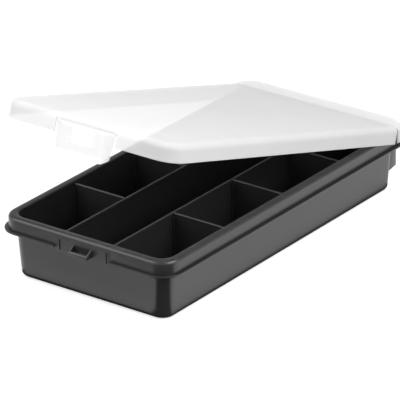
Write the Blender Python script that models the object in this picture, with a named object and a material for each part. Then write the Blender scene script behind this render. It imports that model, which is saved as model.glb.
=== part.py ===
"""Compartment organizer: a shallow tray, eight divider plates and a clear lid on film hinges.

Metres, +Z up. The origin is the centre of the tray's underside. The length runs along Y: the lid's hinge line
is near the +Y end, the snap clasp hangs at the -Y end, and the width runs along X. The lid is drawn shut, in
the tray's own frame, and then raised about its hinge line by LID_RAISED_DEGREES.
"""

import math

import bmesh
import bpy
from mathutils import Matrix, Vector

# Ledge: the thin outward flange that the lid's skirt comes down to. It is the tray's outline.
LEDGE_LENGTH = 0.2800
LEDGE_WIDTH = 0.1418
LEDGE_CORNER_RADIUS = 0.0150
LEDGE_TOP = 0.0352
LEDGE_THICKNESS = 0.0011
LEDGE_REACH = 0.0024

# Rim: a broad inverted channel above the ledge.
RIM_TOP = 0.0448
RIM_WIDTH = 0.0060
RIM_SKIN = 0.0016
RIM_OUTER_EDGE_RADIUS = 0.0022
RIM_INNER_EDGE_RADIUS = 0.0008

# Walls and floor.
WALL_THICKNESS = 0.0018
WALL_LEAN_SHARE = 0.0605
FLOOR_THICKNESS = 0.0018
FLOOR_FILLET = 0.0018
BASE_EDGE_RADIUS = 0.0034
CORNER_TIGHTENING_SHARE = 0.67

# Divider plates and the ribs that hold their ends.
DIVIDER_THICKNESS = 0.0016
DIVIDER_TOP = 0.0430
DIVIDER_TOP_BEVEL = 0.0004
LONG_DIVIDER_X = 0.0195
CROSS_DIVIDER_PITCH = 0.0658
RIB_WIDTH = 0.0011
RIB_DEPTH = 0.0015
RIB_DROP = 0.0020
SEAT_CLEARANCE = 0.0003

# Catch on the tray's front: an apron in place of the ledge, with a cored-out wedge that holds the clasp's window.
APRON_WIDTH = 0.0450
APRON_REACH = 0.0002
APRON_SKIN = 0.0016
APRON_BOTTOM = 0.0318
CATCH_WIDTH = 0.0155
CATCH_REACH = 0.0056
CATCH_TOP = 0.0402
CATCH_NOSE_TOP = 0.0358
CATCH_BOTTOM = 0.0338
CATCH_WALL = 0.0011
CATCH_FLOOR = 0.0010
CATCH_CHEEK_X = 0.0192
CATCH_CHEEK_WIDTH = 0.0012
CATCH_CHEEK_REACH = 0.0018

# Sleeves under the ledge at the hinge end, which take the lid's tongues.
SLEEVE_X = 0.0515
SLEEVE_WIDTH = 0.0122
SLEEVE_SKIN = 0.0014
SLEEVE_PROUD = 0.0007
SLEEVE_BOTTOM = 0.0123
SLEEVE_ROOT_DROP = 0.0022
SLEEVE_ROOF = 0.0014
SLEEVE_WINDOW_WIDTH = 0.0056
SLEEVE_WINDOW_BOTTOM = 0.0178
SLEEVE_WINDOW_HEIGHT = 0.0034
SLOT_MARGIN = 0.0001

# Lid: a panel, a round shoulder and a skirt, cut across by the hinge line.
LID_HEIGHT = 0.0126
SKIRT_CLEARANCE = 0.0018
LID_PANEL_THICKNESS = 0.0015
LID_SKIRT_THICKNESS = 0.0011
LID_SHOULDER_RADIUS = 0.0046
LID_FRONT_OVERHANG = 0.0016
LID_RAISED_DEGREES = 16.7
HINGE_CORNER_MARGIN = 0.0005
HINGE_GAP = 0.0004

# Tongues of the fixed strip behind the hinge line.
TONGUE_WIDTH = 0.0080
TONGUE_BOTTOM = 0.0160
TONGUE_TIP_WIDTH = 0.0060
TONGUE_TIP_HEIGHT = 0.0015
BARB_WIDTH = 0.0046
BARB_REACH = 0.0011
BARB_HEIGHT = 0.0024

# Clasp: a tapering scoop that hangs in a notch of the lid's front skirt. It has a window and a flared lip.
CLASP_TOP_WIDTH = 0.0485
CLASP_BOTTOM_WIDTH = 0.0430
CLASP_HEIGHT = 0.0205
CLASP_THICKNESS = 0.0012
CLASP_NECK = 0.0008
CLASP_SHOULDER = 0.0020
CLASP_SHOULDER_REACH = 0.0024
CLASP_FACE_REACH = 0.0020
CLASP_LIP_HEIGHT = 0.0028
CLASP_LIP_REACH = 0.0036
CLASP_LIP_ROOT_THICKNESS = 0.0016
CLASP_LIP_THICKNESS = 0.0022
CLASP_HEM_SLOPE_SHARE = 0.23
CLASP_NECK_RUN = 0.0004
CLASP_SHOULDER_RUN = 0.0080
CLASP_LIP_ROOT_RUN = 0.0035
CLASP_HEM_RUN = 0.0006
CLASP_EDGE_CLEARANCE = 0.0004
CLASP_WINDOW_WIDTH = 0.0186
CLASP_WINDOW_HEAD = 0.0016
NOTCH_RISE = 0.0016

# Facets of round corners and edges, and how far a cutter or a root runs past a face.
CORNER_STEPS = 8
EDGE_STEPS = 4
OVERRUN = 0.0010
SMOOTH_DEGREES = 35.0

HALF_LENGTH = LEDGE_LENGTH / 2
HALF_WIDTH = LEDGE_WIDTH / 2
RIM_INNER_INSET = LEDGE_REACH + RIM_WIDTH
FRONT_RIM_FACE = -(HALF_LENGTH - LEDGE_REACH)
REAR_RIM_FACE = HALF_LENGTH - LEDGE_REACH

LID_INSET = LEDGE_REACH - SEAT_CLEARANCE - LID_SKIRT_THICKNESS
LID_BOTTOM = LEDGE_TOP + SKIRT_CLEARANCE
LID_TOP = LID_BOTTOM + LID_HEIGHT
LID_FRONT_FACE = -(HALF_LENGTH - LID_INSET + LID_FRONT_OVERHANG)
LID_REAR_FACE = HALF_LENGTH - LID_INSET
SHOULDER_FOOT = LID_TOP - LID_SHOULDER_RADIUS
NOTCH_TOP = SHOULDER_FOOT + NOTCH_RISE
HINGE_LINE_Y = HALF_LENGTH - LEDGE_CORNER_RADIUS - HINGE_CORNER_MARGIN


def wall_inset(height):
    """How far the wall's inner face lies inside the ledge's outline, at a height."""
    return RIM_INNER_INSET + WALL_LEAN_SHARE * (RIM_TOP - height)


def arc(inset, height, radius, start, end, steps=EDGE_STEPS):
    """Profile points on a quarter round, from one angle to another in degrees."""
    angles = [math.radians(start + (end - start) * step / steps) for step in range(steps + 1)]
    return [(inset + radius * math.cos(a), height + radius * math.sin(a)) for a in angles]


def ring(inset, height, overhang=0):
    """Points of the ledge's outline moved in by an inset; overhang moves the front end out."""
    radius = LEDGE_CORNER_RADIUS - CORNER_TIGHTENING_SHARE * inset
    side = HALF_WIDTH - inset - radius
    rear = HALF_LENGTH - inset - radius
    front = -rear - overhang
    points = []
    for quarter, (x, y) in enumerate([(side, rear), (-side, rear), (-side, front), (side, front)]):
        for step in range(CORNER_STEPS + 1):
            a = math.radians(90 * (quarter + step / CORNER_STEPS))
            points.append((x + radius * math.cos(a), y + radius * math.sin(a), height))
    return points


def stack(bm, rings):
    """A closed body over rings with the same number of points, capped at both ends."""
    loops = [[bm.verts.new(point) for point in points] for points in rings]
    for lower, upper in zip(loops, loops[1:]):
        for i in range(len(lower)):
            j = (i + 1) % len(lower)
            bm.faces.new((lower[i], lower[j], upper[j], upper[i]))
    bm.faces.new(loops[0][::-1])
    bm.faces.new(loops[-1])


def prism(bm, profile, place, start, end):
    """A profile swept straight: place(u, v, w) turns a profile point and a distance into a point."""
    stack(bm, [[place(u, v, w) for u, v in profile] for w in (start, end)])


def block(bm, low, high):
    """A box between two corners."""
    corners = [(low[0], low[1]), (high[0], low[1]), (high[0], high[1]), (low[0], high[1])]
    prism(bm, corners, lambda x, y, z: (x, y, z), low[2], high[2])


def finish(name, bm, material=None, parent=None):
    """Turns the mesh into an object. With no material it is a cutter or an added form, left out of renders."""
    bmesh.ops.recalc_face_normals(bm, faces=bm.faces)
    mesh = bpy.data.meshes.new(name)
    bm.to_mesh(mesh)
    bm.free()
    obj = bpy.data.objects.new(name, mesh)
    bpy.context.collection.objects.link(obj)
    if parent:
        obj.parent = parent
        mesh.transform(Matrix.Translation(-Vector(parent["axis"])))
    if material:
        mesh.materials.append(material)
        mesh.shade_smooth()
        mesh.set_sharp_from_angle(angle=math.radians(SMOOTH_DEGREES))
    else:
        obj.hide_render = True
        obj.display_type = "WIRE"
    return obj


def shape(target, operation, other):
    """Joins the other form to the target, or cuts it away."""
    modifier = target.modifiers.new(other.name, "BOOLEAN")
    modifier.operation = operation
    modifier.solver = "EXACT"
    modifier.object = other


def plastic(name, colour, roughness, alpha=1.0):
    material = bpy.data.materials.new(name)
    material.use_nodes = True
    shader = material.node_tree.nodes["Principled BSDF"]
    shader.inputs["Base Color"].default_value = (*colour, 1.0)
    shader.inputs["Roughness"].default_value = roughness
    shader.inputs["Metallic"].default_value = 0
    shader.inputs["Alpha"].default_value = alpha
    return material


def axis_empty(name, y, z, parent=None):
    """An empty on a joint's axis, which runs along X. Its place is kept in the shut lid's frame."""
    empty = bpy.data.objects.new(name, None)
    bpy.context.collection.objects.link(empty)
    empty["axis"] = (0, y, z)
    empty.location = (0, y, z)
    if parent:
        empty.parent = parent
        empty.location -= Vector(parent["axis"])
    return empty


def tray_profile():
    """The tray's section from the underside, up the wall, round the rim and down to the floor."""
    channel_top = RIM_TOP - RIM_SKIN
    ledge_bottom = LEDGE_TOP - LEDGE_THICKNESS
    base = wall_inset(0) - WALL_THICKNESS
    leg = LEDGE_REACH + RIM_SKIN
    outer, inner = RIM_OUTER_EDGE_RADIUS, RIM_INNER_EDGE_RADIUS
    foot = wall_inset(FLOOR_THICKNESS + FLOOR_FILLET)
    profile = arc(base + BASE_EDGE_RADIUS, BASE_EDGE_RADIUS, BASE_EDGE_RADIUS, -90, -180)
    profile += [(wall_inset(channel_top) - WALL_THICKNESS, channel_top)]
    profile += [(leg, channel_top), (leg, ledge_bottom), (0, ledge_bottom), (0, LEDGE_TOP)]
    profile += [(LEDGE_REACH, LEDGE_TOP)]
    profile += arc(LEDGE_REACH + outer, RIM_TOP - outer, outer, 180, 90)
    profile += arc(RIM_INNER_INSET - inner, RIM_TOP - inner, inner, 90, 0)
    profile += arc(foot + FLOOR_FILLET, FLOOR_THICKNESS + FLOOR_FILLET, FLOOR_FILLET, 180, 270)
    return profile


def rib_offsets():
    """Centres of the two ribs beside a plate, measured from the plate's middle."""
    offset = DIVIDER_THICKNESS / 2 + SEAT_CLEARANCE + RIB_WIDTH / 2
    return (-offset, offset)


def wall_ribs(bm):
    """Pairs of ribs up the walls, which lean with them."""
    low, high = FLOOR_THICKNESS / 2, DIVIDER_TOP - RIB_DROP
    buried = WALL_THICKNESS / 2

    def section(half):
        return [
            (half - wall_inset(low) + buried, low),
            (half - wall_inset(high) + buried, high),
            (half - wall_inset(high), high),
            (half - wall_inset(high - RIB_DEPTH) - RIB_DEPTH, high - RIB_DEPTH),
            (half - wall_inset(low) - RIB_DEPTH, low),
        ]

    for side in (-1, 1):
        for offset in rib_offsets():
            for x in (-LONG_DIVIDER_X, LONG_DIVIDER_X):
                start = x + offset - RIB_WIDTH / 2
                prism(bm, section(HALF_LENGTH), lambda u, v, w: (w, side * u, v), start, start + RIB_WIDTH)
            for y in (-CROSS_DIVIDER_PITCH, 0, CROSS_DIVIDER_PITCH):
                start = y + offset - RIB_WIDTH / 2
                prism(bm, section(HALF_WIDTH), lambda u, v, w: (side * u, w, v), start, start + RIB_WIDTH)


def apron(bm):
    """The flat apron that takes the rim's face down past the ledge at the front."""
    face = FRONT_RIM_FACE - APRON_REACH
    top = RIM_TOP - RIM_OUTER_EDGE_RADIUS
    half = APRON_WIDTH / 2
    root = face + APRON_SKIN
    block(bm, (-half, face, APRON_BOTTOM), (half, root, top))


def catch(bm):
    """The wedge that holds the clasp's window, and the two low cheeks beside it."""
    face = FRONT_RIM_FACE - APRON_REACH
    root = face + APRON_SKIN / 2
    nose = face - CATCH_REACH
    wedge = [(root, CATCH_TOP), (face, CATCH_TOP), (nose, CATCH_NOSE_TOP), (nose, CATCH_BOTTOM)]
    wedge += [(root, CATCH_BOTTOM)]
    prism(bm, wedge, lambda u, v, w: (w, u, v), -CATCH_WIDTH / 2, CATCH_WIDTH / 2)
    for x in (-CATCH_CHEEK_X, CATCH_CHEEK_X):
        half = CATCH_CHEEK_WIDTH / 2
        block(
            bm,
            (x - half, face - CATCH_CHEEK_REACH, APRON_BOTTOM + OVERRUN),
            (x + half, root, CATCH_TOP),
        )


def catch_core(bm):
    """The hollow in the wedge, open above."""
    face = FRONT_RIM_FACE - APRON_REACH
    half = CATCH_WIDTH / 2 - CATCH_WALL
    nose = face - CATCH_REACH
    block(bm, (-half, nose + CATCH_WALL, CATCH_BOTTOM + CATCH_FLOOR), (half, face, CATCH_TOP + OVERRUN))


def sleeves(bm):
    """Sleeves under the ledge. Their backs lean with the wall and their undersides drop towards it."""
    roof = LEDGE_TOP - LEDGE_THICKNESS / 2
    face = HALF_LENGTH + SLEEVE_PROUD
    low = SLEEVE_BOTTOM - SLEEVE_ROOT_DROP

    def back(height):
        return HALF_LENGTH - wall_inset(height) + SEAT_CLEARANCE

    profile = [(back(low), low), (face, SLEEVE_BOTTOM), (face, roof), (back(roof), roof)]
    for x in (-SLEEVE_X, SLEEVE_X):
        prism(bm, profile, lambda u, v, w: (w, u, v), x - SLEEVE_WIDTH / 2, x + SLEEVE_WIDTH / 2)


def sleeve_cavities(bm):
    """The hollow of each sleeve, open below."""
    ceiling = LEDGE_TOP - LEDGE_THICKNESS - SLEEVE_ROOF
    near = HALF_LENGTH - wall_inset(ceiling) + WALL_THICKNESS + SLEEVE_SKIN
    far = HALF_LENGTH + SLEEVE_PROUD - SLEEVE_SKIN
    low = SLEEVE_BOTTOM - SLEEVE_ROOT_DROP - OVERRUN
    half = SLEEVE_WIDTH / 2 - SLEEVE_SKIN
    for x in (-SLEEVE_X, SLEEVE_X):
        block(bm, (x - half, near, low), (x + half, far, ceiling))


def sleeve_slots(bm):
    """Slots through the ledge for the tongues, and the windows that their barbs snap into."""
    half = TONGUE_WIDTH / 2 + SEAT_CLEARANCE
    window = SLEEVE_WINDOW_WIDTH / 2
    far = HALF_LENGTH + SLEEVE_PROUD
    for x in (-SLEEVE_X, SLEEVE_X):
        block(
            bm,
            (x - half, REAR_RIM_FACE + SLOT_MARGIN, LEDGE_TOP - LEDGE_THICKNESS - SLEEVE_ROOF - OVERRUN),
            (x + half, far - SLEEVE_SKIN, LEDGE_TOP + OVERRUN),
        )
        block(
            bm,
            (x - window, far - SLEEVE_SKIN - OVERRUN, SLEEVE_WINDOW_BOTTOM),
            (x + window, far + OVERRUN, SLEEVE_WINDOW_BOTTOM + SLEEVE_WINDOW_HEIGHT),
        )


def ledge_gap(bm):
    """The stretch of ledge that the apron takes the place of."""
    face = FRONT_RIM_FACE - APRON_REACH
    half = APRON_WIDTH / 2
    ledge_bottom = LEDGE_TOP - LEDGE_THICKNESS
    block(bm, (-half, -HALF_LENGTH - OVERRUN, ledge_bottom - OVERRUN), (half, face, LEDGE_TOP + OVERRUN))


def form(name, build, parent=None):
    """An added form or a cutter, made by its build function."""
    bm = bmesh.new()
    build(bm)
    return finish(name, bm, parent=parent)


def make_tray(material):
    bm = bmesh.new()
    stack(bm, [ring(inset, height) for inset, height in tray_profile()])
    tray = finish("tray", bm, material)
    shape(tray, "UNION", form("tray_ribs", wall_ribs))
    shape(tray, "DIFFERENCE", form("tray_ledge_gap", ledge_gap))
    shape(tray, "UNION", form("tray_apron", apron))
    shape(tray, "UNION", form("tray_catch", catch))
    shape(tray, "DIFFERENCE", form("tray_catch_core", catch_core))
    shape(tray, "UNION", form("tray_sleeves", sleeves))
    shape(tray, "DIFFERENCE", form("tray_sleeve_cavities", sleeve_cavities))
    shape(tray, "DIFFERENCE", form("tray_sleeve_slots", sleeve_slots))
    return tray


def plate_end(half):
    """Points up one leaning end of a plate, clear of the wall and of the fillet at its foot."""
    low = FLOOR_THICKNESS + SEAT_CLEARANCE
    foot = FLOOR_THICKNESS + FLOOR_FILLET
    reach = half - SEAT_CLEARANCE
    return [
        (reach - wall_inset(foot) - FLOOR_FILLET, low),
        (reach - wall_inset(foot), foot),
        (reach - wall_inset(DIVIDER_TOP), DIVIDER_TOP),
    ]


def ease_top(bm):
    """Takes the sharpness off a plate's top edges."""
    edges = [e for e in bm.edges if all(abs(v.co.z - DIVIDER_TOP) < DIVIDER_TOP_BEVEL / 2 for v in e.verts)]
    bmesh.ops.bevel(bm, geom=edges, offset=DIVIDER_TOP_BEVEL, segments=2, profile=0.5, affect="EDGES")


def make_long_divider(name, side, material):
    """A plate along the tray. Its outer face carries rib pairs for the cross plates."""
    bm = bmesh.new()
    right = plate_end(HALF_LENGTH)
    outline = right + [(-u, v) for u, v in reversed(right)]
    x = side * LONG_DIVIDER_X
    half = DIVIDER_THICKNESS / 2
    prism(bm, outline, lambda u, v, w: (w, u, v), x - half, x + half)
    ease_top(bm)
    divider = finish(name, bm, material)

    def ribs(bm):
        face = LONG_DIVIDER_X + half
        low, high = FLOOR_THICKNESS + SEAT_CLEARANCE, DIVIDER_TOP - RIB_DROP
        profile = [(face - half, low), (face - half, high), (face, high)]
        profile += [(face + RIB_DEPTH, high - RIB_DEPTH), (face + RIB_DEPTH, low)]
        for y in (-CROSS_DIVIDER_PITCH, 0, CROSS_DIVIDER_PITCH):
            for offset in rib_offsets():
                start = y + offset - RIB_WIDTH / 2
                prism(bm, profile, lambda u, v, w: (side * u, w, v), start, start + RIB_WIDTH)

    shape(divider, "UNION", form(name + "_ribs", ribs))


def make_cross_divider(name, side, y, material):
    """A plate from a long divider's face to the long wall."""
    bm = bmesh.new()
    low = FLOOR_THICKNESS + SEAT_CLEARANCE
    inner = LONG_DIVIDER_X + DIVIDER_THICKNESS / 2 + SEAT_CLEARANCE
    outline = [(inner, DIVIDER_TOP), (inner, low)] + plate_end(HALF_WIDTH)
    half = DIVIDER_THICKNESS / 2
    prism(bm, outline, lambda u, v, w: (side * u, w, v), y - half, y + half)
    ease_top(bm)
    finish(name, bm, material)


def lid_profile():
    """The lid's section from the middle of the top, over the shoulder, and back inside to the panel."""
    outer, thickness = LID_SHOULDER_RADIUS, LID_SKIRT_THICKNESS
    inner = outer - LID_PANEL_THICKNESS
    ceiling = LID_TOP - LID_PANEL_THICKNESS
    profile = arc(LID_INSET + outer, SHOULDER_FOOT, outer, 90, 180)
    profile += [(LID_INSET, LID_BOTTOM), (LID_INSET + thickness, LID_BOTTOM)]
    profile += arc(LID_INSET + thickness + inner, ceiling - inner, inner, 180, 90)
    return profile


def lid_shell(name, material, parent=None):
    """The whole lid, shut, before it is cut at its hinge line."""
    bm = bmesh.new()
    stack(bm, [ring(inset, height, LID_FRONT_OVERHANG) for inset, height in lid_profile()])
    return finish(name, bm, material, parent)


def lid_cutter(start, end):
    """A block over the stretch of lid between two places along Y."""

    def build(bm):
        x = HALF_WIDTH + OVERRUN
        block(bm, (-x, start, LID_BOTTOM - OVERRUN), (x, end, LID_TOP + OVERRUN))

    return build


def tongues(bm):
    """Tongues below the rear skirt, each with a barb near its tip."""
    far = LID_REAR_FACE
    near = far - LID_SKIRT_THICKNESS
    low, tip = TONGUE_BOTTOM, TONGUE_BOTTOM + TONGUE_TIP_HEIGHT
    high = LID_BOTTOM + OVERRUN
    half, tip_half = TONGUE_WIDTH / 2, TONGUE_TIP_WIDTH / 2
    outline = [(-tip_half, low), (tip_half, low), (half, tip), (half, high), (-half, high), (-half, tip)]
    root = far - LID_SKIRT_THICKNESS / 2
    barb_low = SLEEVE_WINDOW_BOTTOM + SEAT_CLEARANCE
    barb_high = barb_low + BARB_HEIGHT
    barb = [(root, barb_low), (far, barb_low), (far + BARB_REACH, barb_high), (root, barb_high)]
    for x in (-SLEEVE_X, SLEEVE_X):
        prism(bm, outline, lambda u, v, w: (x + u, w, v), near, far)
        prism(bm, barb, lambda u, v, w: (x + w, u, v), -BARB_WIDTH / 2, BARB_WIDTH / 2)


def make_rear_strip(material):
    """The strip behind the hinge line, held down by its tongues."""
    strip = lid_shell("lid_rear_strip", material)
    cut = HINGE_LINE_Y + HINGE_GAP / 2
    shape(strip, "DIFFERENCE", form("strip_cutter", lid_cutter(LID_FRONT_FACE - OVERRUN, cut)))
    shape(strip, "UNION", form("strip_tongues", tongues))


def clasp_notch(bm):
    """The gap in the front skirt that the clasp hangs in."""
    half = CLASP_TOP_WIDTH / 2 + CLASP_EDGE_CLEARANCE
    rear = LID_FRONT_FACE + LID_SKIRT_THICKNESS + OVERRUN
    block(bm, (-half, LID_FRONT_FACE - OVERRUN, LID_BOTTOM - OVERRUN), (half, rear, NOTCH_TOP))


def make_lid_panel(material, hinge):
    """The part of the lid that swings: panel, shoulders and skirts in front of the hinge line."""
    lid = lid_shell("lid_panel", material, hinge)
    cut = HINGE_LINE_Y - HINGE_GAP / 2
    shape(lid, "DIFFERENCE", form("lid_cutter", lid_cutter(cut, LID_REAR_FACE + OVERRUN), hinge))
    shape(lid, "DIFFERENCE", form("clasp_notch", clasp_notch, hinge))


def clasp_section(drop, reach, rear, thickness, run, slope=0):
    """One level of the scoop: its face, and two cheeks that run back from it. A slope lifts the rear points."""
    half_top, half_bottom = CLASP_TOP_WIDTH / 2, CLASP_BOTTOM_WIDTH / 2
    half = half_top + (half_bottom - half_top) * drop / CLASP_HEIGHT
    face = LID_FRONT_FACE - reach
    depth = rear - face
    outer = [(-half, rear), (-half + run, face), (half - run, face), (half, rear)]
    inner_rear = half - CLASP_THICKNESS * math.hypot(run, depth) / depth
    inner_face = inner_rear - run * (depth - thickness) / depth - thickness / 2
    inner = [(inner_rear, rear), (inner_face, face + thickness)]
    inner += [(-u, v) for u, v in reversed(inner)]
    height = NOTCH_TOP - SEAT_CLEARANCE - drop
    return [(u, v, height + slope * (v - face)) for u, v in outer + inner]


def make_clasp(material, pivot):
    """The scoop, its window and its lip."""
    bm = bmesh.new()
    neck_rear = LID_FRONT_FACE + CLASP_THICKNESS
    rear = -HALF_LENGTH - CLASP_EDGE_CLEARANCE
    lip_root = CLASP_SHOULDER_REACH + CLASP_FACE_REACH
    tip = lip_root + CLASP_LIP_REACH
    levels = [
        (0, 0, neck_rear, CLASP_THICKNESS, CLASP_NECK_RUN),
        (CLASP_NECK, 0, neck_rear, CLASP_THICKNESS, CLASP_NECK_RUN),
        (CLASP_NECK + CLASP_SHOULDER, CLASP_SHOULDER_REACH, rear, CLASP_THICKNESS, CLASP_SHOULDER_RUN),
        (CLASP_HEIGHT - CLASP_LIP_HEIGHT, lip_root, rear, CLASP_LIP_ROOT_THICKNESS, CLASP_LIP_ROOT_RUN),
        (CLASP_HEIGHT, tip, rear, CLASP_LIP_THICKNESS, CLASP_HEM_RUN, CLASP_HEM_SLOPE_SHARE),
    ]
    stack(bm, [clasp_section(*level) for level in levels])
    clasp = finish("lid_clasp", bm, material, pivot)

    def window(bm):
        half = CLASP_WINDOW_WIDTH / 2
        head = NOTCH_TOP - SEAT_CLEARANCE - CLASP_WINDOW_HEAD
        sill = CATCH_BOTTOM - SEAT_CLEARANCE
        front = LID_FRONT_FACE - lip_root - OVERRUN
        block(bm, (-half, front, sill), (half, neck_rear + OVERRUN, head))

    shape(clasp, "DIFFERENCE", form("clasp_window", window, pivot))


def main():
    for obj in list(bpy.data.objects):
        bpy.data.objects.remove(obj)

    charcoal = plastic("charcoal_polypropylene", (0.045, 0.043, 0.044), 0.42)
    milky = plastic("milky_polypropylene", (0.86, 0.86, 0.86), 0.22, 0.55)

    make_tray(charcoal)
    for label, side in (("left", -1), ("right", 1)):
        make_long_divider("long_divider_" + label, side, charcoal)
        for place, row in (("front", -1), ("middle", 0), ("rear", 1)):
            name = "cross_divider_" + label + "_" + place
            make_cross_divider(name, side, row * CROSS_DIVIDER_PITCH, charcoal)

    make_rear_strip(milky)
    lid_hinge = axis_empty("lid_hinge_axis", HINGE_LINE_Y, LID_TOP)
    lid_hinge.rotation_euler.x = -math.radians(LID_RAISED_DEGREES)
    make_lid_panel(milky, lid_hinge)
    clasp_hinge = axis_empty("clasp_hinge_axis", LID_FRONT_FACE, NOTCH_TOP, lid_hinge)
    make_clasp(milky, clasp_hinge)


main()
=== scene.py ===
"""Compartment organizer: a charcoal tray with dividers under a milky snap lid, dressed for its portrait.

Metres, +Z up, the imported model's own frame: the tray stands on z = 0 at the origin, its length runs along Y, the
lid's hinge line is near the +Y end and the clasp hangs at the -Y end.
"""

import math

import bmesh
import bpy
from mathutils import Matrix, Vector


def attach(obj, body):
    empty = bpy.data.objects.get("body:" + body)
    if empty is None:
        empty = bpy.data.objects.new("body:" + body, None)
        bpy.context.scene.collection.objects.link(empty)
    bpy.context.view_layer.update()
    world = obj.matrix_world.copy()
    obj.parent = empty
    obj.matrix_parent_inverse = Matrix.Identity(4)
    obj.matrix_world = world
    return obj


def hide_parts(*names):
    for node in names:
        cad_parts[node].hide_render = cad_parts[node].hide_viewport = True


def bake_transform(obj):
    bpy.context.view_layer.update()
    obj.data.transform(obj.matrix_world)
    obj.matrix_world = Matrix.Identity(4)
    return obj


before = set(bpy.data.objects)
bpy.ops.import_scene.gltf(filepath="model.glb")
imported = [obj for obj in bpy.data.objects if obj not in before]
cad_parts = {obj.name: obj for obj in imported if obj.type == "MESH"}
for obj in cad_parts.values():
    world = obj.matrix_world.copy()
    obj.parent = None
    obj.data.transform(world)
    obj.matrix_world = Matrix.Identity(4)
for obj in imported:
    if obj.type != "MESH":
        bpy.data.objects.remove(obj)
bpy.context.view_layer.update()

# Camera, fitted to the photograph: aim is the view axis's offset along the camera's own right and up.
CAMERA_AZIMUTH = 36.688
CAMERA_ELEVATION = 24.2503
CAMERA_ROLL = -0.6
CAMERA_DISTANCE = 2.741245
CAMERA_AIM = (-0.0059795, 0.020313)
FOCAL_PIXELS = 4053.15
IMAGE_PIXELS = 400
SENSOR_WIDTH = 36.0
VIEW_REACH = 20.0

# The tray's outline and section, as in the CAD.
HALF_LENGTH = 0.1400
HALF_WIDTH = 0.0709
CORNER_RADIUS = 0.0150
CORNER_TIGHTENING = 0.67
LEDGE_TOP = 0.0352
LEDGE_BOTTOM = 0.0341
LEDGE_REACH = 0.0024
RIM_TOP = 0.0448
RIM_INNER_INSET = 0.0084
RIM_SKIN = 0.0016
WALL_THICKNESS = 0.0018
WALL_LEAN = 0.0605
FLOOR_THICKNESS = 0.0018
FLOOR_FILLET = 0.0018
BASE_EDGE_RADIUS = 0.0034
RIM_OUTER_RADIUS = 0.0022
RIM_INNER_RADIUS = 0.0008
FRONT_FACE = -(HALF_LENGTH - LEDGE_REACH)

# What the dressed tray has beyond the CAD: a crowned rim, eased edges on its ledge and a shadow groove above it.
RIM_CROWN_DEGREES = 14.0
LEDGE_EASE = 0.00012
ROOT_GROOVE = 0.00035
FORM_EASE = 0.00025

# Ribs on the walls, in pairs beside each plate.
DIVIDER_X = 0.0195
DIVIDER_PITCH = 0.0658
RIB_OFFSET = 0.00165
RIB_WIDTH = 0.0011
RIB_DEPTH = 0.0015
RIB_TOP = 0.0410

# Apron, catch and cheeks on the front.
APRON_HALF_WIDTH = 0.0225
APRON_BOTTOM = 0.0318
APRON_FACE = FRONT_FACE - 0.0002
APRON_ROOT = APRON_FACE + 0.0016
CATCH_HALF_WIDTH = 0.00775
CATCH_NOSE = APRON_FACE - 0.0056
CATCH_TOP = 0.0402
CATCH_NOSE_TOP = 0.0358
CATCH_BOTTOM = 0.0338
CATCH_WALL = 0.0011
CATCH_FLOOR = 0.0010
CHEEK_X = 0.0192
CHEEK_HALF_WIDTH = 0.0006
CHEEK_REACH = 0.0008

# Sleeves for the lid's tongues behind the rear wall, and the tongues.
SLEEVE_X = 0.0515
SLEEVE_HALF_WIDTH = 0.0061
SLEEVE_SKIN = 0.0014
SLEEVE_FACE = HALF_LENGTH + 0.0007
SLEEVE_BOTTOM = 0.0123
SLEEVE_ROOT_DROP = 0.0022
SLEEVE_CEILING = 0.0327
SLOT_HALF_WIDTH = 0.0043
WINDOW_HALF_WIDTH = 0.0028
WINDOW_BOTTOM = 0.0178
WINDOW_TOP = 0.0212
TONGUE_HALF_WIDTH = 0.0040
TONGUE_BOTTOM = 0.0160
BARB_HALF_WIDTH = 0.0023
BARB_BOTTOM = 0.0181
BARB_TOP = 0.0205
BARB_REACH = 0.0011

# Lid: section, overhang, hinge line and the notch for the clasp.
LID_INSET = 0.0010
LID_BOTTOM = 0.0370
LID_TOP = 0.0496
LID_SHOULDER_RADIUS = 0.0047
LID_PANEL_THICKNESS = 0.0015
LID_SKIRT_THICKNESS = 0.0011
LID_OVERHANG = 0.0016
LID_FRONT = -(HALF_LENGTH - LID_INSET + LID_OVERHANG)
LID_REAR = HALF_LENGTH - LID_INSET
LID_HEM_RADIUS = 0.0004
LID_RAISED_DEGREES = 16.7
HINGE_Y = 0.1245
HINGE_HALF_GAP = 0.0002
NOTCH_HALF_WIDTH = 0.02465
NOTCH_TOP = 0.0466

# Film hinges, and the easing of the clasp's edges. The lid's film runs a third of the way down each shoulder.
FILM_THICKNESS = 0.0004
FILM_SINK = 0.00008
FILM_REACH = 0.0009
FILM_FOOT = LID_TOP - LID_SHOULDER_RADIUS / 3
CLASP_FILM_HALF_WIDTH = 0.0225
CLASP_FILM_INSET = 0.00045
CLASP_FILM_RISE = 0.0003
CLASP_FILM_DROP = 0.0007
CLASP_FILM_WAIST = 0.6
CLASP_EASE = 0.0003

# How finely round forms are divided, how far a cutter runs past what it cuts, and tolerances.
CORNER_SEGMENTS = 14
SHOULDER_STEPS = 10
EDGE_STEPS = 6
SMALL_EDGE_STEPS = 3
EASE_SEGMENTS = 2
OVERRUN = 0.0010
HAIR = 0.0001
WELD_DISTANCE = 0.00001
FLAT_DEGREES = 1.0
SMOOTH_DEGREES = 35.0

# Studio floor: a hair below the tray, with its own colour and glow.
FLOOR_SIZE = 12.0
FLOOR_HEIGHT = -0.0003
FLOOR_ALBEDO = 0.58
FLOOR_GLOW = 0.62

# The room's light, and what reflections see of it: the levels at the horizon and from a given rise upwards.
WORLD_LEVEL = 0.45
HORIZON_LEVEL = 0.70
CEILING_LEVEL = 0.34
CEILING_RISE = 0.65

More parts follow.
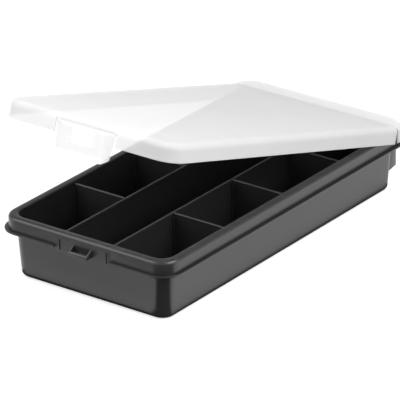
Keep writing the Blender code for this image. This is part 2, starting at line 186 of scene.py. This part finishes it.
# Softboxes: each one's name, place, size and brightness.
LAMP_TARGET = Vector((0, 0, 0.05))
SOFTBOXES = (
    ("key_softbox", (-0.80, -0.90, 1.05), (1.6, 1.5), 2.2),
    ("side_softbox", (1.10, 0.05, 1.15), (1.3, 1.2), 4.6),
)

# Cards on the floor, by their corners and shade, seen only in reflections, so each is a painted reflection. A
# black one before the near corner is painted shade of the floor there, a narrow one under the tray's edge is a
# painted contact shadow, a pale one lies before the front, and a grey one beyond it is painted shade, which the
# rim sees.
CARD_HEIGHT = -0.0001
BLACK = 0.01
# Painted reflections: black cards paint shade and shadow, the pale and grey cards paint a dimmer floor in
# reflections.
FLAGS = (
    ("corner_shade_card", ((0.048, -0.122), (0.33, -0.105), (0.02, -0.42), (0.33, -0.42)), BLACK),
    ("base_shadow_card", ((-0.065, -0.134), (0.065, -0.134), (-0.065, 0.134), (0.065, 0.134)), BLACK),
    ("front_reflection_card", ((-0.42, -0.145), (0.046, -0.145), (-0.42, -0.208), (0.040, -0.208)), 0.88),
    ("rim_shade_card", ((-0.42, -0.208), (0.040, -0.208), (-0.42, -0.42), (0.020, -0.42)), 0.28),
)

# The charcoal plastic: the tones and roughness it drifts between, its gloss, and the pebble from the mould.
CHARCOAL_DARK = (0.0190, 0.0178, 0.0184, 1)
CHARCOAL_LIGHT = (0.0250, 0.0236, 0.0243, 1)
CHARCOAL_ROUGHNESS = 0.26
CHARCOAL_ROUGHNESS_DRIFT = 0.10
CHARCOAL_IOR = 1.58
CHARCOAL_DRIFT_SCALE = 26.0
CHARCOAL_DRIFT_DETAIL = 3.0
PEBBLE_SCALE = 2200.0
PEBBLE_STRENGTH = 0.10
BUMP_DEPTH = 0.0002

# The lid's plastic: its colour, how opaque each skin of the panel and of the skirts is, the share of light that
# passes through and scatters, and its gloss and flow marks. The skirts are less opaque partly for their thinner
# wall and partly as painted shade, which darkens the skirts and their corners.
MILKY_COLOUR = (0.900, 0.890, 0.893, 1)
MILKY_PANEL = 0.615
MILKY_SKIRT = 0.46
MILKY_ALPHA_DRIFT = 0.05
MILKY_GLOW = 0.09
MILKY_ROUGHNESS = 0.50
MILKY_ROUGHNESS_DRIFT = 0.08
MILKY_SPECULAR = 0.25
MILKY_DRIFT_SCALE = 22.0
FLOW_SCALE = 900.0
FLOW_STRENGTH = 0.05


class Value:
    """A node's output socket that takes part in plain arithmetic, adding a Math node for each step."""

    def __init__(self, shader, socket):
        self.shader = shader
        self.socket = socket

    def _math(self, operation, *values):
        return self.shader.node("ShaderNodeMath", {"operation": operation}, *values)

    def __add__(self, other):
        return self._math("ADD", self, other)

    def __mul__(self, other):
        return self._math("MULTIPLY", self, other)

    __radd__ = __add__
    __rmul__ = __mul__

    def clamped(self):
        return self.shader.node("ShaderNodeClamp", {}, self)

    def also(self, name):
        """Another output of the same node."""
        return Value(self.shader, self.socket.node.outputs[name])


class Shader:
    """A material, or the world, whose nodes are added by one method."""

    def __init__(self, owner):
        self.owner = owner
        owner.use_nodes = True
        self.tree = owner.node_tree
        self.tree.nodes.clear()

    def node(self, kind, settings, *values, out=0, **named):
        """Adds a node: its settings first, then a value or a link for each socket, by place or by name."""
        node = self.tree.nodes.new(kind)
        for key, value in settings.items():
            setattr(node, key, value)
        for place, value in enumerate(values):
            self.feed(node.inputs[place], value)
        for key, value in named.items():
            self.feed(node.inputs[key.replace("_", " ")], value)
        return Value(self, node.outputs[out])

    def feed(self, socket, value):
        if isinstance(value, Value):
            self.tree.links.new(value.socket, socket)
        elif value is not None:
            socket.default_value = value

    def mix(self, factor, a, b):
        """A colour between two colours, which the Mix node takes and gives after its sockets for other types."""
        return self.node("ShaderNodeMix", {"data_type": "RGBA"}, factor, *[None] * 5, a, b, out=2)

    def surface(self, value, output="ShaderNodeOutputMaterial"):
        self.feed(self.tree.nodes.new(output).inputs["Surface"], value)
        return self.owner


def grey(level):
    return (level, level, level, 1)


def charcoal_plastic():
    """Satin black polypropylene: a faint pebble from the mould, flow marks, and a sheen that drifts a little."""
    s = Shader(bpy.data.materials.new("charcoal_polypropylene"))
    place = s.node("ShaderNodeTexCoord", {}, out="Object")
    pebble = s.node("ShaderNodeTexNoise", {}, Vector=place, Scale=PEBBLE_SCALE)
    drift = s.node(
        "ShaderNodeTexNoise", {}, Vector=place, Scale=CHARCOAL_DRIFT_SCALE, Detail=CHARCOAL_DRIFT_DETAIL,
    )
    return s.surface(s.node(
        "ShaderNodeBsdfPrincipled", {},
        Base_Color=s.mix(drift, CHARCOAL_DARK, CHARCOAL_LIGHT),
        Roughness=drift * CHARCOAL_ROUGHNESS_DRIFT + CHARCOAL_ROUGHNESS,
        IOR=CHARCOAL_IOR,
        Normal=s.node("ShaderNodeBump", {}, Strength=PEBBLE_STRENGTH, Distance=BUMP_DEPTH, Height=pebble),
    ))


def milky_plastic(name, top):
    """Natural polypropylene: white and cloudy, more so in the panel than in the skirts, which are thinner and
    painted darker.

    Light passes into it, and what lies behind shows faintly. Top is the direction in which the panel faces.
    """
    s = Shader(bpy.data.materials.new(name))
    place = s.node("ShaderNodeTexCoord", {}, out="Object")
    drift = s.node("ShaderNodeTexNoise", {}, Vector=place, Scale=MILKY_DRIFT_SCALE)
    flow = s.node("ShaderNodeTexNoise", {}, Vector=place, Scale=FLOW_SCALE)
    # Facing picks the panel from the skirts; the skirts' lower opacity is partly their thinner wall, partly
    # painted shade.
    facing = s.node("ShaderNodeVectorMath", {"operation": "DOT_PRODUCT"}, place.also("Normal"), top, out="Value")
    panel = s.node("ShaderNodeMath", {"operation": "ABSOLUTE"}, facing)
    skin = s.node(
        "ShaderNodeBsdfPrincipled", {},
        Base_Color=MILKY_COLOUR,
        Roughness=drift * MILKY_ROUGHNESS_DRIFT + MILKY_ROUGHNESS,
        Specular_IOR_Level=MILKY_SPECULAR,
        Alpha=panel * (MILKY_PANEL - MILKY_SKIRT) + drift * MILKY_ALPHA_DRIFT + MILKY_SKIRT,
        Normal=s.node("ShaderNodeBump", {}, Strength=FLOW_STRENGTH, Distance=BUMP_DEPTH, Height=flow),
    )
    body = s.node("ShaderNodeBsdfTranslucent", {}, Color=MILKY_COLOUR)
    return s.surface(s.node("ShaderNodeMixShader", {}, MILKY_GLOW, skin, body))


def floor_material():
    """White to the camera, with the object's shadow kept faint."""
    s = Shader(bpy.data.materials.new("studio_white"))
    return s.surface(s.node(
        "ShaderNodeBsdfPrincipled", {}, Base_Color=grey(FLOOR_ALBEDO), Roughness=1.0, Specular_IOR_Level=0.0,
        Emission_Color=s.mix(seen_directly(s), grey(0.0), grey(1.0)), Emission_Strength=FLOOR_GLOW,
    ))


def seen_directly(s):
    """One on camera, glossy and transmission rays, and zero on the rays that light the object."""
    camera = s.node("ShaderNodeLightPath", {}, out="Is Camera Ray")
    return (camera + camera.also("Is Glossy Ray") + camera.also("Is Transmission Ray")).clamped()


def build_world():
    """Even light all round. The camera sees it white, and reflections see a pale horizon and a dimmer ceiling."""
    world = bpy.data.worlds.new("studio")
    bpy.context.scene.world = world
    s = Shader(world)
    direction = s.node("ShaderNodeTexCoord", {}, out="Generated")
    height = s.node("ShaderNodeSeparateXYZ", {}, direction, out="Z")
    room = s.mix((height * (1 / CEILING_RISE)).clamped(), grey(HORIZON_LEVEL), grey(CEILING_LEVEL))
    camera = s.node("ShaderNodeLightPath", {}, out="Is Camera Ray")
    colour = s.mix(camera, s.mix(camera.also("Is Glossy Ray"), grey(WORLD_LEVEL), room), grey(1.0))
    s.surface(s.node("ShaderNodeBackground", {}, colour, 1.0), "ShaderNodeOutputWorld")


def place_camera():
    azimuth, elevation, roll = (math.radians(a) for a in (CAMERA_AZIMUTH, CAMERA_ELEVATION, CAMERA_ROLL))
    right = Vector((math.cos(azimuth), math.sin(azimuth), 0))
    back = Vector((
        math.sin(azimuth) * math.cos(elevation), -math.cos(azimuth) * math.cos(elevation), math.sin(elevation),
    ))
    up = back.cross(right)
    turned_right = right * math.cos(roll) + up * math.sin(roll)
    turned_up = up * math.cos(roll) - right * math.sin(roll)
    place = turned_right * CAMERA_AIM[0] + turned_up * CAMERA_AIM[1] + back * CAMERA_DISTANCE
    bpy.ops.object.camera_add(location=place)
    camera = bpy.context.object
    camera.rotation_euler = Matrix((turned_right, turned_up, back)).transposed().to_euler()
    camera.data.sensor_width = SENSOR_WIDTH
    camera.data.lens = SENSOR_WIDTH * FOCAL_PIXELS / IMAGE_PIXELS
    camera.data.clip_end = VIEW_REACH
    bpy.context.scene.camera = camera


def softbox(name, place, size, radiance):
    """A square panel of light that faces the object, as bright to look at as its radiance says."""
    bpy.ops.object.light_add(type="AREA", location=place)
    lamp = bpy.context.object
    lamp.name = name
    lamp.data.shape = "RECTANGLE"
    lamp.data.size, lamp.data.size_y = size
    lamp.data.energy = radiance * math.pi * size[0] * size[1]
    lamp.rotation_euler = (LAMP_TARGET - Vector(place)).to_track_quat("-Z", "Y").to_euler()


def flag(name, corners, shade):
    """A card just above the floor that only reflections see: a painted reflection, which is painted shade where it
    is dark.
    """
    bpy.ops.mesh.primitive_plane_add(size=1)
    card = bpy.context.object
    card.name = name
    for vertex, (x, y) in zip(card.data.vertices, corners):
        vertex.co = (x, y, CARD_HEIGHT)
    s = Shader(bpy.data.materials.new(name))
    card.data.materials.append(s.surface(s.node("ShaderNodeBsdfDiffuse", {}, Color=grey(shade))))
    card.visible_camera = card.visible_diffuse = card.visible_shadow = card.visible_transmission = False


def build_stage():
    """The floor, the room's light, the softboxes and the cards, with colours shown as they are."""
    bpy.ops.mesh.primitive_plane_add(size=FLOOR_SIZE, location=(0, 0, FLOOR_HEIGHT))
    floor = bpy.context.object
    floor.name = "studio_floor"
    floor.data.materials.append(floor_material())
    build_world()
    for name, place, size, radiance in SOFTBOXES:
        softbox(name, place, size, radiance)
    for name, corners, shade in FLAGS:
        flag(name, corners, shade)
    bpy.context.scene.view_settings.view_transform = "Standard"


def arc(inset, height, radius, start, end, steps=EDGE_STEPS):
    """Levels on a part round, from one angle to another in degrees."""
    angles = [math.radians(start + (end - start) * step / steps) for step in range(steps + 1)]
    return [(inset + radius * math.cos(a), height + radius * math.sin(a)) for a in angles]


def wall_inset(height):
    """How far the wall's inner face lies inside the ledge's outline."""
    return RIM_INNER_INSET + WALL_LEAN * (RIM_TOP - height)


def deselect():
    bpy.ops.object.select_all(action="DESELECT")


def activate(piece):
    deselect()
    piece.select_set(True)
    bpy.context.view_layer.objects.active = piece


def outline(inset, height, overhang, cap=False):
    """In edit mode, adds the tray's rounded outline moved in by an inset, as edges or with its face."""
    centre = (0, -overhang / 2, height)
    size = (HALF_WIDTH - inset, HALF_LENGTH - inset + overhang / 2, 1)
    bpy.ops.mesh.select_all(action="DESELECT")
    bpy.ops.mesh.primitive_plane_add(size=2, location=centre)
    bpy.ops.transform.resize(value=size, center_override=centre)
    radius = CORNER_RADIUS - CORNER_TIGHTENING * inset
    bpy.ops.mesh.bevel(affect="VERTICES", offset=radius, segments=CORNER_SEGMENTS)
    if not cap:
        bpy.ops.mesh.delete(type="ONLY_FACE")


def shell(name, levels, overhang=0):
    """A closed body of rounded outlines, each bridged to the next and the two last ones capped."""
    deselect()
    bpy.ops.mesh.primitive_plane_add(size=1)
    piece = bpy.context.object
    piece.name = piece.data.name = name
    bpy.ops.object.mode_set(mode="EDIT")
    bpy.ops.mesh.delete(type="VERT")
    bpy.ops.mesh.select_mode(type="EDGE")
    for lower, upper in zip(levels, levels[1:]):
        outline(*lower, overhang)
        outline(*upper, overhang)
        bpy.ops.mesh.select_non_manifold(
            extend=False, use_wire=True, use_boundary=False, use_multi_face=False, use_non_contiguous=False,
            use_verts=False,
        )
        bpy.ops.mesh.bridge_edge_loops()
    outline(*levels[0], overhang, cap=True)
    outline(*levels[-1], overhang, cap=True)
    close_up()
    bpy.ops.object.mode_set(mode="OBJECT")
    return piece


def close_up():
    """In edit mode, merges doubles and turns the faces outwards."""
    bpy.ops.mesh.select_all(action="SELECT")
    bpy.ops.mesh.remove_doubles(threshold=WELD_DISTANCE)
    bpy.ops.mesh.normals_make_consistent(inside=False)


def pick(piece, test):
    """In edit mode, selects the vertices that a test on their place picks."""
    bpy.ops.mesh.select_mode(type="VERT")
    bpy.ops.mesh.select_all(action="DESELECT")
    mesh = bmesh.from_edit_mesh(piece.data)
    for vertex in mesh.verts:
        if test(vertex.co):
            vertex.select_set(True)
    mesh.select_flush(True)
    bmesh.update_edit_mesh(piece.data)


def block(name, low, high, shifts=(), ease=0):
    """A block between two corners. Shifts move the corners that a test picks, and then its edges are eased."""
    low, high = Vector(low), Vector(high)
    centre = (low + high) / 2
    deselect()
    bpy.ops.mesh.primitive_cube_add(size=1, location=centre, scale=high - low)
    piece = bpy.context.object
    piece.name = piece.data.name = name
    bpy.ops.object.transform_apply(location=True, rotation=False, scale=True)
    bpy.ops.object.mode_set(mode="EDIT")
    for test, offset in shifts:
        pick(piece, test)
        bpy.ops.transform.translate(value=offset)
    if ease:
        bpy.ops.mesh.select_all(action="SELECT")
        bpy.ops.mesh.bevel(offset=ease, segments=EASE_SEGMENTS, affect="EDGES", clamp_overlap=True)
    bpy.ops.object.mode_set(mode="OBJECT")
    return piece


def copied(piece, offset=(0, 0, 0), flip=None):
    """A copy with its own mesh, moved, or mirrored in a plane through the origin."""
    twin = piece.copy()
    twin.data = piece.data.copy()
    bpy.context.collection.objects.link(twin)
    activate(twin)
    bpy.ops.object.mode_set(mode="EDIT")
    bpy.ops.mesh.select_all(action="SELECT")
    bpy.ops.transform.translate(value=offset)
    if flip is not None:
        factors = [-1 if axis == flip else 1 for axis in range(3)]
        bpy.ops.transform.resize(value=factors, center_override=(0, 0, 0))
        bpy.ops.mesh.normals_make_consistent(inside=False)
    bpy.ops.object.mode_set(mode="OBJECT")
    return twin


def both_sides(piece):
    """A piece on the +X side and its mirror image."""
    return [piece, copied(piece, flip=0)]


def joined(parts):
    activate(parts[0])
    for part in parts:
        part.select_set(True)
    if len(parts) > 1:
        bpy.ops.object.join()
    return parts[0]


def boolean(piece, operation, parts):
    """Welds parts onto a piece or cuts them out of it, and removes them."""
    tool = joined(parts)
    activate(piece)
    bpy.ops.object.modifier_add(type="BOOLEAN")
    modifier = piece.modifiers[-1]
    modifier.operation = operation
    modifier.solver = "EXACT"
    modifier.object = tool
    bpy.ops.object.modifier_apply(modifier=modifier.name)
    bpy.data.objects.remove(tool)


def finished(piece, finish, body, slot, *nodes):
    """Shades a piece, gives it its finish, and hands it to the frame in place of its CAD nodes."""
    activate(piece)
    bpy.ops.object.mode_set(mode="EDIT")
    bpy.ops.mesh.select_all(action="SELECT")
    bpy.ops.mesh.remove_doubles(threshold=WELD_DISTANCE)
    bpy.ops.object.mode_set(mode="OBJECT")
    bpy.ops.object.shade_smooth_by_angle(angle=math.radians(SMOOTH_DEGREES))
    piece.data.materials.clear()
    piece.data.materials.append(finish)
    if body:
        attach(piece, body)
    if nodes:
        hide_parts(*nodes)
    return piece


def tray_levels():
    """The tray's section from its underside, up the wall, round the ledge and the rim, and down to the floor."""
    base = wall_inset(0) - WALL_THICKNESS
    channel_top = RIM_TOP - RIM_SKIN
    leg = LEDGE_REACH + RIM_SKIN
    levels = arc(base + BASE_EDGE_RADIUS, BASE_EDGE_RADIUS, BASE_EDGE_RADIUS, -90, -180)
    levels += [(wall_inset(channel_top) - WALL_THICKNESS, channel_top), (leg, channel_top)]
    levels += [(leg, LEDGE_BOTTOM)]
    levels += arc(LEDGE_EASE, LEDGE_BOTTOM + LEDGE_EASE, LEDGE_EASE, -90, -180, SMALL_EDGE_STEPS)
    levels += arc(LEDGE_EASE, LEDGE_TOP - LEDGE_EASE, LEDGE_EASE, 180, 90, SMALL_EDGE_STEPS)
    levels += [
        (LEDGE_REACH + ROOT_GROOVE, LEDGE_TOP), (LEDGE_REACH + ROOT_GROOVE, LEDGE_TOP + ROOT_GROOVE),
        (LEDGE_REACH, LEDGE_TOP + ROOT_GROOVE),
    ]

    crown = RIM_CROWN_DEGREES
    lean = math.sin(math.radians(crown))
    outer_end = LEDGE_REACH + RIM_OUTER_RADIUS * (1 - lean)
    inner_end = RIM_INNER_INSET - RIM_INNER_RADIUS * (1 - lean)
    middle = (outer_end + inner_end) / 2
    crown_radius = (inner_end - middle) / lean
    drop = math.cos(math.radians(crown))
    shoulder = RIM_TOP - crown_radius * (1 - drop)
    outer_height = shoulder - RIM_OUTER_RADIUS * drop
    inner_height = shoulder - RIM_INNER_RADIUS * drop
    levels += arc(LEDGE_REACH + RIM_OUTER_RADIUS, outer_height, RIM_OUTER_RADIUS, 180, 90 + crown)
    levels += arc(middle, RIM_TOP - crown_radius, crown_radius, 90 + crown, 90 - crown)[1:-1]
    levels += arc(RIM_INNER_INSET - RIM_INNER_RADIUS, inner_height, RIM_INNER_RADIUS, 90 - crown, 0)
    foot = wall_inset(FLOOR_THICKNESS + FLOOR_FILLET)
    levels += arc(foot + FLOOR_FILLET, FLOOR_THICKNESS + FLOOR_FILLET, FLOOR_FILLET, 180, 270)
    return levels


def wall_ribs():
    """Pairs of ribs up the walls. One is modelled on each of two walls, leaning with it, and copied."""
    low = FLOOR_THICKNESS / 2
    lean = WALL_LEAN * (RIB_TOP - low)
    buried = WALL_THICKNESS / 2
    half = RIB_WIDTH / 2
    ribs = []
    end = HALF_LENGTH - wall_inset(low)
    end_rib = block(
        "end_rib", (-half, end - RIB_DEPTH, low), (half, end + buried, RIB_TOP),
        [
            (lambda co: co.z > low + OVERRUN, (0, lean, 0)),
            (lambda co: co.z > low + OVERRUN and co.y < end + lean - OVERRUN, (0, 0, -RIB_DEPTH)),
        ], FORM_EASE,
    )
    side = HALF_WIDTH - wall_inset(low)
    side_rib = block(
        "side_rib", (side - RIB_DEPTH, -half, low), (side + buried, half, RIB_TOP),
        [
            (lambda co: co.z > low + OVERRUN, (lean, 0, 0)),
            (lambda co: co.z > low + OVERRUN and co.x < side + lean - OVERRUN, (0, 0, -RIB_DEPTH)),
        ], FORM_EASE,
    )
    for offset in (-RIB_OFFSET, RIB_OFFSET):
        for x in (-DIVIDER_X, DIVIDER_X):
            rib = copied(end_rib, (x + offset, 0, 0))
            ribs += [rib, copied(rib, flip=1)]
        for y in (-DIVIDER_PITCH, 0, DIVIDER_PITCH):
            ribs += both_sides(copied(side_rib, (0, y + offset, 0)))
    for first in (end_rib, side_rib):
        bpy.data.objects.remove(first)
    return ribs


def make_tray(finish):
    tray = shell("tray_shell", tray_levels())
    ledge_gap = block(
        "ledge_gap", (-APRON_HALF_WIDTH, -HALF_LENGTH - OVERRUN, LEDGE_BOTTOM - OVERRUN),
        (APRON_HALF_WIDTH, APRON_FACE, LEDGE_TOP + OVERRUN),
    )
    boolean(tray, "DIFFERENCE", [ledge_gap])

    apron = block(
        "apron", (-APRON_HALF_WIDTH, APRON_FACE, APRON_BOTTOM),
        (APRON_HALF_WIDTH, APRON_ROOT, RIM_TOP - RIM_OUTER_RADIUS), (), FORM_EASE,
    )
    boolean(tray, "UNION", [apron])
    wedge = block(
        "catch_wedge", (-CATCH_HALF_WIDTH, CATCH_NOSE, CATCH_BOTTOM), (CATCH_HALF_WIDTH, APRON_ROOT, CATCH_TOP),
        [(lambda co: co.y < APRON_FACE and co.z > CATCH_NOSE_TOP, (0, 0, CATCH_NOSE_TOP - CATCH_TOP))],
        FORM_EASE,
    )
    cheek = block(
        "catch_cheek", (CHEEK_X - CHEEK_HALF_WIDTH, APRON_FACE - CHEEK_REACH, APRON_BOTTOM + OVERRUN),
        (CHEEK_X + CHEEK_HALF_WIDTH, APRON_ROOT, CATCH_TOP), (), FORM_EASE,
    )
    sleeve_root = HALF_LENGTH - wall_inset(SLEEVE_BOTTOM)
    lean = WALL_LEAN * (LEDGE_BOTTOM - SLEEVE_BOTTOM)
    sleeve = block(
        "sleeve", (SLEEVE_X - SLEEVE_HALF_WIDTH, sleeve_root, SLEEVE_BOTTOM),
        (SLEEVE_X + SLEEVE_HALF_WIDTH, SLEEVE_FACE, LEDGE_BOTTOM + LEDGE_EASE),
        [
            (lambda co: co.y < HALF_LENGTH - OVERRUN and co.z > SLEEVE_CEILING, (0, lean, 0)),
            (lambda co: co.y < HALF_LENGTH - OVERRUN and co.z < SLEEVE_CEILING, (0, 0, -SLEEVE_ROOT_DROP)),
        ], FORM_EASE,
    )
    boolean(tray, "UNION", wall_ribs() + [wedge] + both_sides(cheek) + both_sides(sleeve))

    core = block(
        "catch_core",
        (CATCH_WALL - CATCH_HALF_WIDTH, CATCH_NOSE + CATCH_WALL, CATCH_BOTTOM + CATCH_FLOOR),
        (CATCH_HALF_WIDTH - CATCH_WALL, APRON_FACE, CATCH_TOP + OVERRUN),
    )
    cavity_root = HALF_LENGTH - wall_inset(SLEEVE_CEILING) + WALL_THICKNESS + SLEEVE_SKIN
    cavity = block(
        "sleeve_cavity",
        (SLEEVE_X - SLEEVE_HALF_WIDTH + SLEEVE_SKIN, cavity_root, SLEEVE_BOTTOM - SLEEVE_ROOT_DROP - OVERRUN),
        (SLEEVE_X + SLEEVE_HALF_WIDTH - SLEEVE_SKIN, SLEEVE_FACE - SLEEVE_SKIN, SLEEVE_CEILING),
    )
    slot = block(
        "sleeve_slot", (SLEEVE_X - SLOT_HALF_WIDTH, -FRONT_FACE + HAIR, SLEEVE_CEILING - OVERRUN),
        (SLEEVE_X + SLOT_HALF_WIDTH, SLEEVE_FACE - SLEEVE_SKIN, LEDGE_TOP + OVERRUN),
    )
    window = block(
        "sleeve_window", (SLEEVE_X - WINDOW_HALF_WIDTH, SLEEVE_FACE - SLEEVE_SKIN - OVERRUN, WINDOW_BOTTOM),
        (SLEEVE_X + WINDOW_HALF_WIDTH, SLEEVE_FACE + OVERRUN, WINDOW_TOP),
    )
    boolean(tray, "DIFFERENCE", [core] + both_sides(cavity))
    boolean(tray, "DIFFERENCE", both_sides(slot))
    boolean(tray, "DIFFERENCE", both_sides(window))
    finished(tray, finish, "tray", "charcoal_plastic", "tray")


def lid_levels():
    """The lid's section from the middle of its top, over the shoulder, round the hem and back up inside."""
    inner = LID_SHOULDER_RADIUS - LID_PANEL_THICKNESS
    inner_face = LID_INSET + LID_SKIRT_THICKNESS
    hem = LID_HEM_RADIUS
    levels = arc(
        LID_INSET + LID_SHOULDER_RADIUS, LID_TOP - LID_SHOULDER_RADIUS, LID_SHOULDER_RADIUS, 90, 180,
        SHOULDER_STEPS,
    )
    levels += arc(LID_INSET + hem, LID_BOTTOM + hem, hem, 180, 270, SMALL_EDGE_STEPS)
    levels += arc(inner_face - hem, LID_BOTTOM + hem, hem, -90, 0, SMALL_EDGE_STEPS)
    levels += arc(inner_face + inner, LID_TOP - LID_PANEL_THICKNESS - inner, inner, 180, 90)
    return levels


def bisect(piece, y, keep_front):
    """Cuts a piece across at a place along its length, keeps one side and closes it."""
    activate(piece)
    bpy.ops.object.mode_set(mode="EDIT")
    bpy.ops.mesh.select_all(action="SELECT")
    bpy.ops.mesh.bisect(
        plane_co=(0, y, 0), plane_no=(0, 1, 0), use_fill=True, clear_outer=keep_front, clear_inner=not keep_front,
    )
    close_up()
    bpy.ops.object.mode_set(mode="OBJECT")


def raised(piece, test=lambda co: True):
    """Turns a piece, or the part of it that a test picks, from the shut lid's place to where the lid stands."""
    activate(piece)
    bpy.ops.object.mode_set(mode="EDIT")
    pick(piece, test)
    bpy.ops.transform.rotate(
        value=math.radians(LID_RAISED_DEGREES), orient_axis="X", center_override=(0, HINGE_Y, LID_TOP),
    )
    bpy.ops.object.mode_set(mode="OBJECT")


def make_lid(finish):
    whole = shell("lid_cover", lid_levels(), LID_OVERHANG)
    strip = copied(whole)
    strip.name = strip.data.name = "lid_strip"
    bisect(whole, HINGE_Y - HINGE_HALF_GAP, True)
    bisect(strip, HINGE_Y + HINGE_HALF_GAP, False)
    notch = block(
        "clasp_notch", (-NOTCH_HALF_WIDTH, LID_FRONT - OVERRUN, LID_BOTTOM - OVERRUN),
        (NOTCH_HALF_WIDTH, LID_FRONT + LID_SKIRT_THICKNESS + OVERRUN, NOTCH_TOP),
    )
    boolean(whole, "DIFFERENCE", [notch])
    raised(whole)
    finished(whole, finish, "lid", "milky_plastic", "lid_panel")

    tongue = block(
        "tongue", (SLEEVE_X - TONGUE_HALF_WIDTH, LID_REAR - LID_SKIRT_THICKNESS, TONGUE_BOTTOM),
        (SLEEVE_X + TONGUE_HALF_WIDTH, LID_REAR, LID_BOTTOM + OVERRUN), (), FORM_EASE,
    )
    barb = block(
        "barb", (SLEEVE_X - BARB_HALF_WIDTH, LID_REAR - LID_SKIRT_THICKNESS / 2, BARB_BOTTOM),
        (SLEEVE_X + BARB_HALF_WIDTH, LID_REAR, BARB_TOP),
        [(lambda co: co.y > LID_REAR - HAIR and co.z > BARB_BOTTOM + OVERRUN, (0, BARB_REACH, 0))],
    )
    boolean(strip, "UNION", both_sides(tongue))
    boolean(strip, "UNION", both_sides(barb))
    finished(strip, finish, "tray", "milky_plastic", "lid_rear_strip")


def make_lid_film(finish):
    """The thin film that joins the lid to its rear strip, over the flat top and the start of both shoulders."""
    half = HALF_WIDTH - LID_INSET - FILM_SINK
    top = LID_TOP - FILM_SINK
    film = block(
        "lid_film", (-half, HINGE_Y - FILM_REACH, FILM_FOOT - 2 * LID_SHOULDER_RADIUS),
        (half, HINGE_Y + FILM_REACH, top),
    )
    core = block(
        "film_core", (FILM_THICKNESS - half, HINGE_Y - 2 * FILM_REACH, FILM_FOOT - 3 * LID_SHOULDER_RADIUS),
        (half - FILM_THICKNESS, HINGE_Y + 2 * FILM_REACH, top - FILM_THICKNESS),
    )
    for piece, radius in ((film, LID_SHOULDER_RADIUS), (core, LID_SHOULDER_RADIUS - FILM_THICKNESS)):
        activate(piece)
        bpy.ops.object.mode_set(mode="EDIT")
        bpy.ops.mesh.select_mode(type="EDGE")
        bpy.ops.mesh.select_all(action="DESELECT")
        mesh = bmesh.from_edit_mesh(piece.data)
        for edge in mesh.edges:
            ends = [v.co for v in edge.verts]
            edge.select_set(min(e.z for e in ends) > FILM_FOOT - OVERRUN and abs(ends[0].x - ends[1].x) < OVERRUN)
        bmesh.update_edit_mesh(piece.data)
        bpy.ops.mesh.bevel(offset=radius, segments=SHOULDER_STEPS, affect="EDGES")
        bpy.ops.object.mode_set(mode="OBJECT")
    boolean(film, "DIFFERENCE", [core])
    activate(film)
    bpy.ops.object.mode_set(mode="EDIT")
    bpy.ops.mesh.select_all(action="SELECT")
    bpy.ops.mesh.bisect(plane_co=(0, 0, FILM_FOOT), plane_no=(0, 0, 1), use_fill=True, clear_inner=True)
    for y in (HINGE_Y - HINGE_HALF_GAP, HINGE_Y, HINGE_Y + HINGE_HALF_GAP):
        bpy.ops.mesh.select_all(action="SELECT")
        bpy.ops.mesh.bisect(plane_co=(0, y, 0), plane_no=(0, 1, 0))
    close_up()
    bpy.ops.object.mode_set(mode="OBJECT")
    raised(film, lambda co: co.y < HINGE_Y - HINGE_HALF_GAP / 2)
    finished(film, finish, None, "milky_plastic")
    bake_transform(film)


def make_clasp(finish):
    """The scoop, taken from its CAD solid: merged, its flat faces made whole and its edges eased."""
    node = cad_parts["lid_clasp"]
    clasp = copied(node)
    clasp.name = clasp.data.name = "clasp_scoop"
    activate(clasp)
    bpy.ops.object.mode_set(mode="EDIT")
    close_up()
    bpy.ops.mesh.dissolve_limited(angle_limit=math.radians(FLAT_DEGREES))
    bpy.ops.object.mode_set(mode="OBJECT")
    bpy.ops.object.modifier_add(type="BEVEL")
    ease = clasp.modifiers[-1]
    ease.width = CLASP_EASE
    ease.segments = EASE_SEGMENTS
    ease.limit_method = "ANGLE"
    bpy.ops.object.modifier_apply(modifier=ease.name)
    finished(clasp, finish, "clasp", "milky_plastic", "lid_clasp")


def make_clasp_film(finish):
    """The thin, waisted film along the top of the notch, on which the clasp swings."""
    face = LID_FRONT + CLASP_FILM_INSET
    film = block(
        "clasp_film", (-CLASP_FILM_HALF_WIDTH, face, NOTCH_TOP - CLASP_FILM_DROP),
        (CLASP_FILM_HALF_WIDTH, face + FILM_THICKNESS, NOTCH_TOP + CLASP_FILM_RISE), (), FILM_SINK,
    )
    activate(film)
    bpy.ops.object.mode_set(mode="EDIT")
    for height in (NOTCH_TOP - HINGE_HALF_GAP, NOTCH_TOP, NOTCH_TOP + HINGE_HALF_GAP):
        bpy.ops.mesh.select_all(action="SELECT")
        bpy.ops.mesh.bisect(plane_co=(0, 0, height), plane_no=(0, 0, 1))
    pick(film, lambda co: abs(co.z - NOTCH_TOP) < HINGE_HALF_GAP / 2)
    bpy.ops.transform.resize(value=(1, CLASP_FILM_WAIST, 1), center_override=(0, face + FILM_THICKNESS / 2, 0))
    bpy.ops.object.mode_set(mode="OBJECT")
    raised(film)
    finished(film, finish, None, "milky_plastic")
    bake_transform(film)


place_camera()
build_stage()

charcoal = charcoal_plastic()
lid_lean = math.radians(LID_RAISED_DEGREES)
milky = milky_plastic("milky_polypropylene", (0, math.sin(lid_lean), math.cos(lid_lean)))
for name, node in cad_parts.items():
    for slot in node.material_slots:
        slot.material = milky if name.startswith("lid") else charcoal
make_tray(charcoal)
make_lid(milky)
make_lid_film(milky)
make_clasp(milky)
make_clasp_film(milky)
